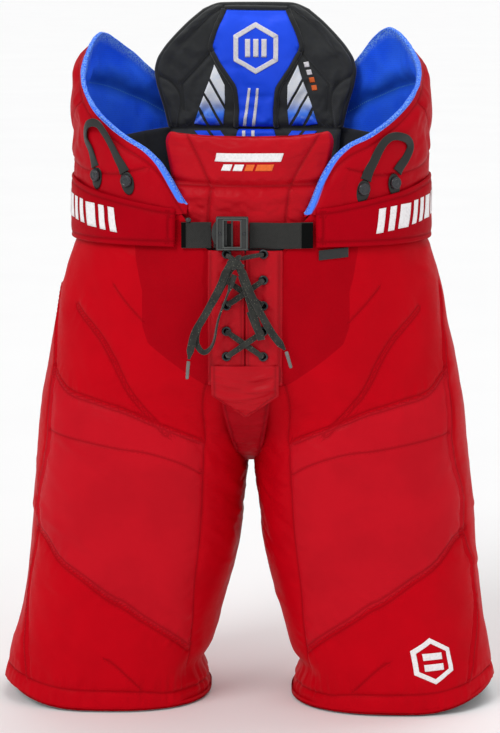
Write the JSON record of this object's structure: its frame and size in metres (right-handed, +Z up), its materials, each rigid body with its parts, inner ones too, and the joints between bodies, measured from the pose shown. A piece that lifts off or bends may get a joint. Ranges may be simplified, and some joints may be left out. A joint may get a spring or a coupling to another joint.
{
  "type": "hockey pants",
  "caption": "Padded hockey pants with side wings, tall spine pad, belt and buckle, laced fly, suspender loops and two stiff leg shells.",
  "frame": {"origin": "centre of the waist opening at belt height", "axes": "+Z up to the top of the spine pad, -Y towards the laced front, +X towards the wearer's left"},
  "size_m": [0.564, 0.317, 0.792],
  "materials": {
    "shell_red": "coated nylon with a soft sheen, quilted seams",
    "panel_dark_red": "matt stretch nylon",
    "lining_blue": "open spacer mesh over foam",
    "pad_black": "black knit over foam with piped edges",
    "webbing": "woven polyester webbing",
    "strap_black": "smooth coated strap",
    "lace": "flat braided lace with pale flecks",
    "buckle_plastic": "moulded acetal, satin",
    "button_plastic": "moulded, polished",
    "aglet_plastic": "rolled film, polished",
    "eyelet_metal": "black oxide",
    "pad_plastic": "vacuum-formed polyethylene",
    "pad_foam": "closed-cell foam"
  },
  "bodies": {
    "pelvis": {"girdle_shell": "shell_red", "hip_band": "shell_red", "belt_strap_left": "webbing", "belt_strap_right": "webbing", "buckle_hook_plate": "buckle_plastic", "fly_tongue": "panel_dark_red", "lace_upper_back": "lace", "lace_upper_front": "lace", "lace_lower_back": "lace", "lace_lower_front": "lace", "lace_knot": "lace", "waist_pad_lower": "shell_red", "lower_back_pad": "pad_black", "tailbone_pad": "pad_foam", "crotch_gusset": "panel_dark_red", "label_tab": "pad_black", "fly_placket_left": "panel_dark_red", "lace_tail_left": "lace", "lace_loop_left": "lace", "aglet_left": "aglet_plastic", "hip_cap_left": "pad_plastic", "hip_crease_left": "shell_red", "eyelet_left_1": "eyelet_metal", "eyelet_left_2": "eyelet_metal", "eyelet_left_3": "eyelet_metal", "eyelet_left_4": "eyelet_metal", "eyelet_left_5": "eyelet_metal", "fly_placket_right": "panel_dark_red", "lace_tail_right": "lace", "lace_loop_right": "lace", "aglet_right": "aglet_plastic", "hip_cap_right": "pad_plastic", "hip_crease_right": "shell_red", "eyelet_right_1": "eyelet_metal", "eyelet_right_2": "eyelet_metal", "eyelet_right_3": "eyelet_metal", "eyelet_right_4": "eyelet_metal", "eyelet_right_5": "eyelet_metal"},
    "left_leg": {"leg_shell_left": "shell_red", "hem_roll_left": "shell_red", "thigh_guard_left": "pad_plastic", "thigh_foam_left": "pad_foam"},
    "right_leg": {"leg_shell_right": "shell_red", "hem_roll_right": "shell_red", "thigh_guard_right": "pad_plastic", "thigh_foam_right": "pad_foam"},
    "left_wing": {"hip_wing_left": "shell_red", "suspender_button_left_outer": "button_plastic", "suspender_button_left_inner": "button_plastic"},
    "right_wing": {"hip_wing_right": "shell_red", "suspender_button_right_outer": "button_plastic", "suspender_button_right_inner": "button_plastic"},
    "left_loop": {"suspender_loop_left": "strap_black"},
    "right_loop": {"suspender_loop_right": "strap_black"},
    "spine_pad": {"spine_pad_front": "pad_black", "spine_pad_plate": "pad_plastic", "spine_pad_back": "pad_black", "spine_pad_panel": "lining_blue"},
    "waist_flap": {"waist_pad_flap": "shell_red"},
    "buckle": {"buckle_frame": "buckle_plastic"}
  },
  "joints": [
    {"name": "left_leg_swing", "type": "hinge", "parent": "pelvis", "child": "left_leg", "pos_m": [0.12, -0.012, -0.19], "axis": [-1, 0, 0], "range_deg": [-10, 35], "stiffness_Nm_per_rad": 0.8, "deforming": ["hip_crease_left", "crotch_gusset"]},
    {"name": "right_leg_swing", "type": "hinge", "parent": "pelvis", "child": "right_leg", "pos_m": [-0.12, -0.012, -0.19], "axis": [-1, 0, 0], "range_deg": [-10, 35], "stiffness_Nm_per_rad": 0.8, "deforming": ["hip_crease_right", "crotch_gusset"]},
    {"name": "left_wing_flare", "type": "hinge", "parent": "pelvis", "child": "left_wing", "pos_m": [0.203, 0, 0.056], "axis": [0, 1, 0], "range_deg": [0, 25], "stiffness_Nm_per_rad": 2},
    {"name": "right_wing_flare", "type": "hinge", "parent": "pelvis", "child": "right_wing", "pos_m": [-0.203, 0, 0.056], "axis": [0, -1, 0], "range_deg": [0, 25], "stiffness_Nm_per_rad": 2},
    {"name": "left_loop_swing", "type": "hinge", "parent": "left_wing", "child": "left_loop", "pos_m": [0.1713, -0.0884, 0.056], "axis": [0.7868, 0.6052, 0.121], "range_deg": [0, 110], "stiffness_Nm_per_rad": 0.002},
    {"name": "right_loop_swing", "type": "hinge", "parent": "right_wing", "child": "right_loop", "pos_m": [-0.1713, -0.0884, 0.056], "axis": [0.7868, -0.6052, -0.121], "range_deg": [0, 110], "stiffness_Nm_per_rad": 0.002},
    {"name": "spine_pad_tilt", "type": "hinge", "parent": "pelvis", "child": "spine_pad", "pos_m": [0, 0.1, 0.099], "axis": [1, 0, 0], "range_deg": [0, 18], "stiffness_Nm_per_rad": 1.5},
    {"name": "waist_flap_fold", "type": "hinge", "parent": "pelvis", "child": "waist_flap", "pos_m": [0, -0.1395, 0.0537], "axis": [1, 0, 0], "range_deg": [0, 60], "stiffness_Nm_per_rad": 0.3},
    {"name": "buckle_swing", "type": "hinge", "parent": "pelvis", "child": "buckle", "pos_m": [-0.0006, -0.1474, 0.0019], "axis": [0, 0, 1], "range_deg": [0, 60]}
  ]
}
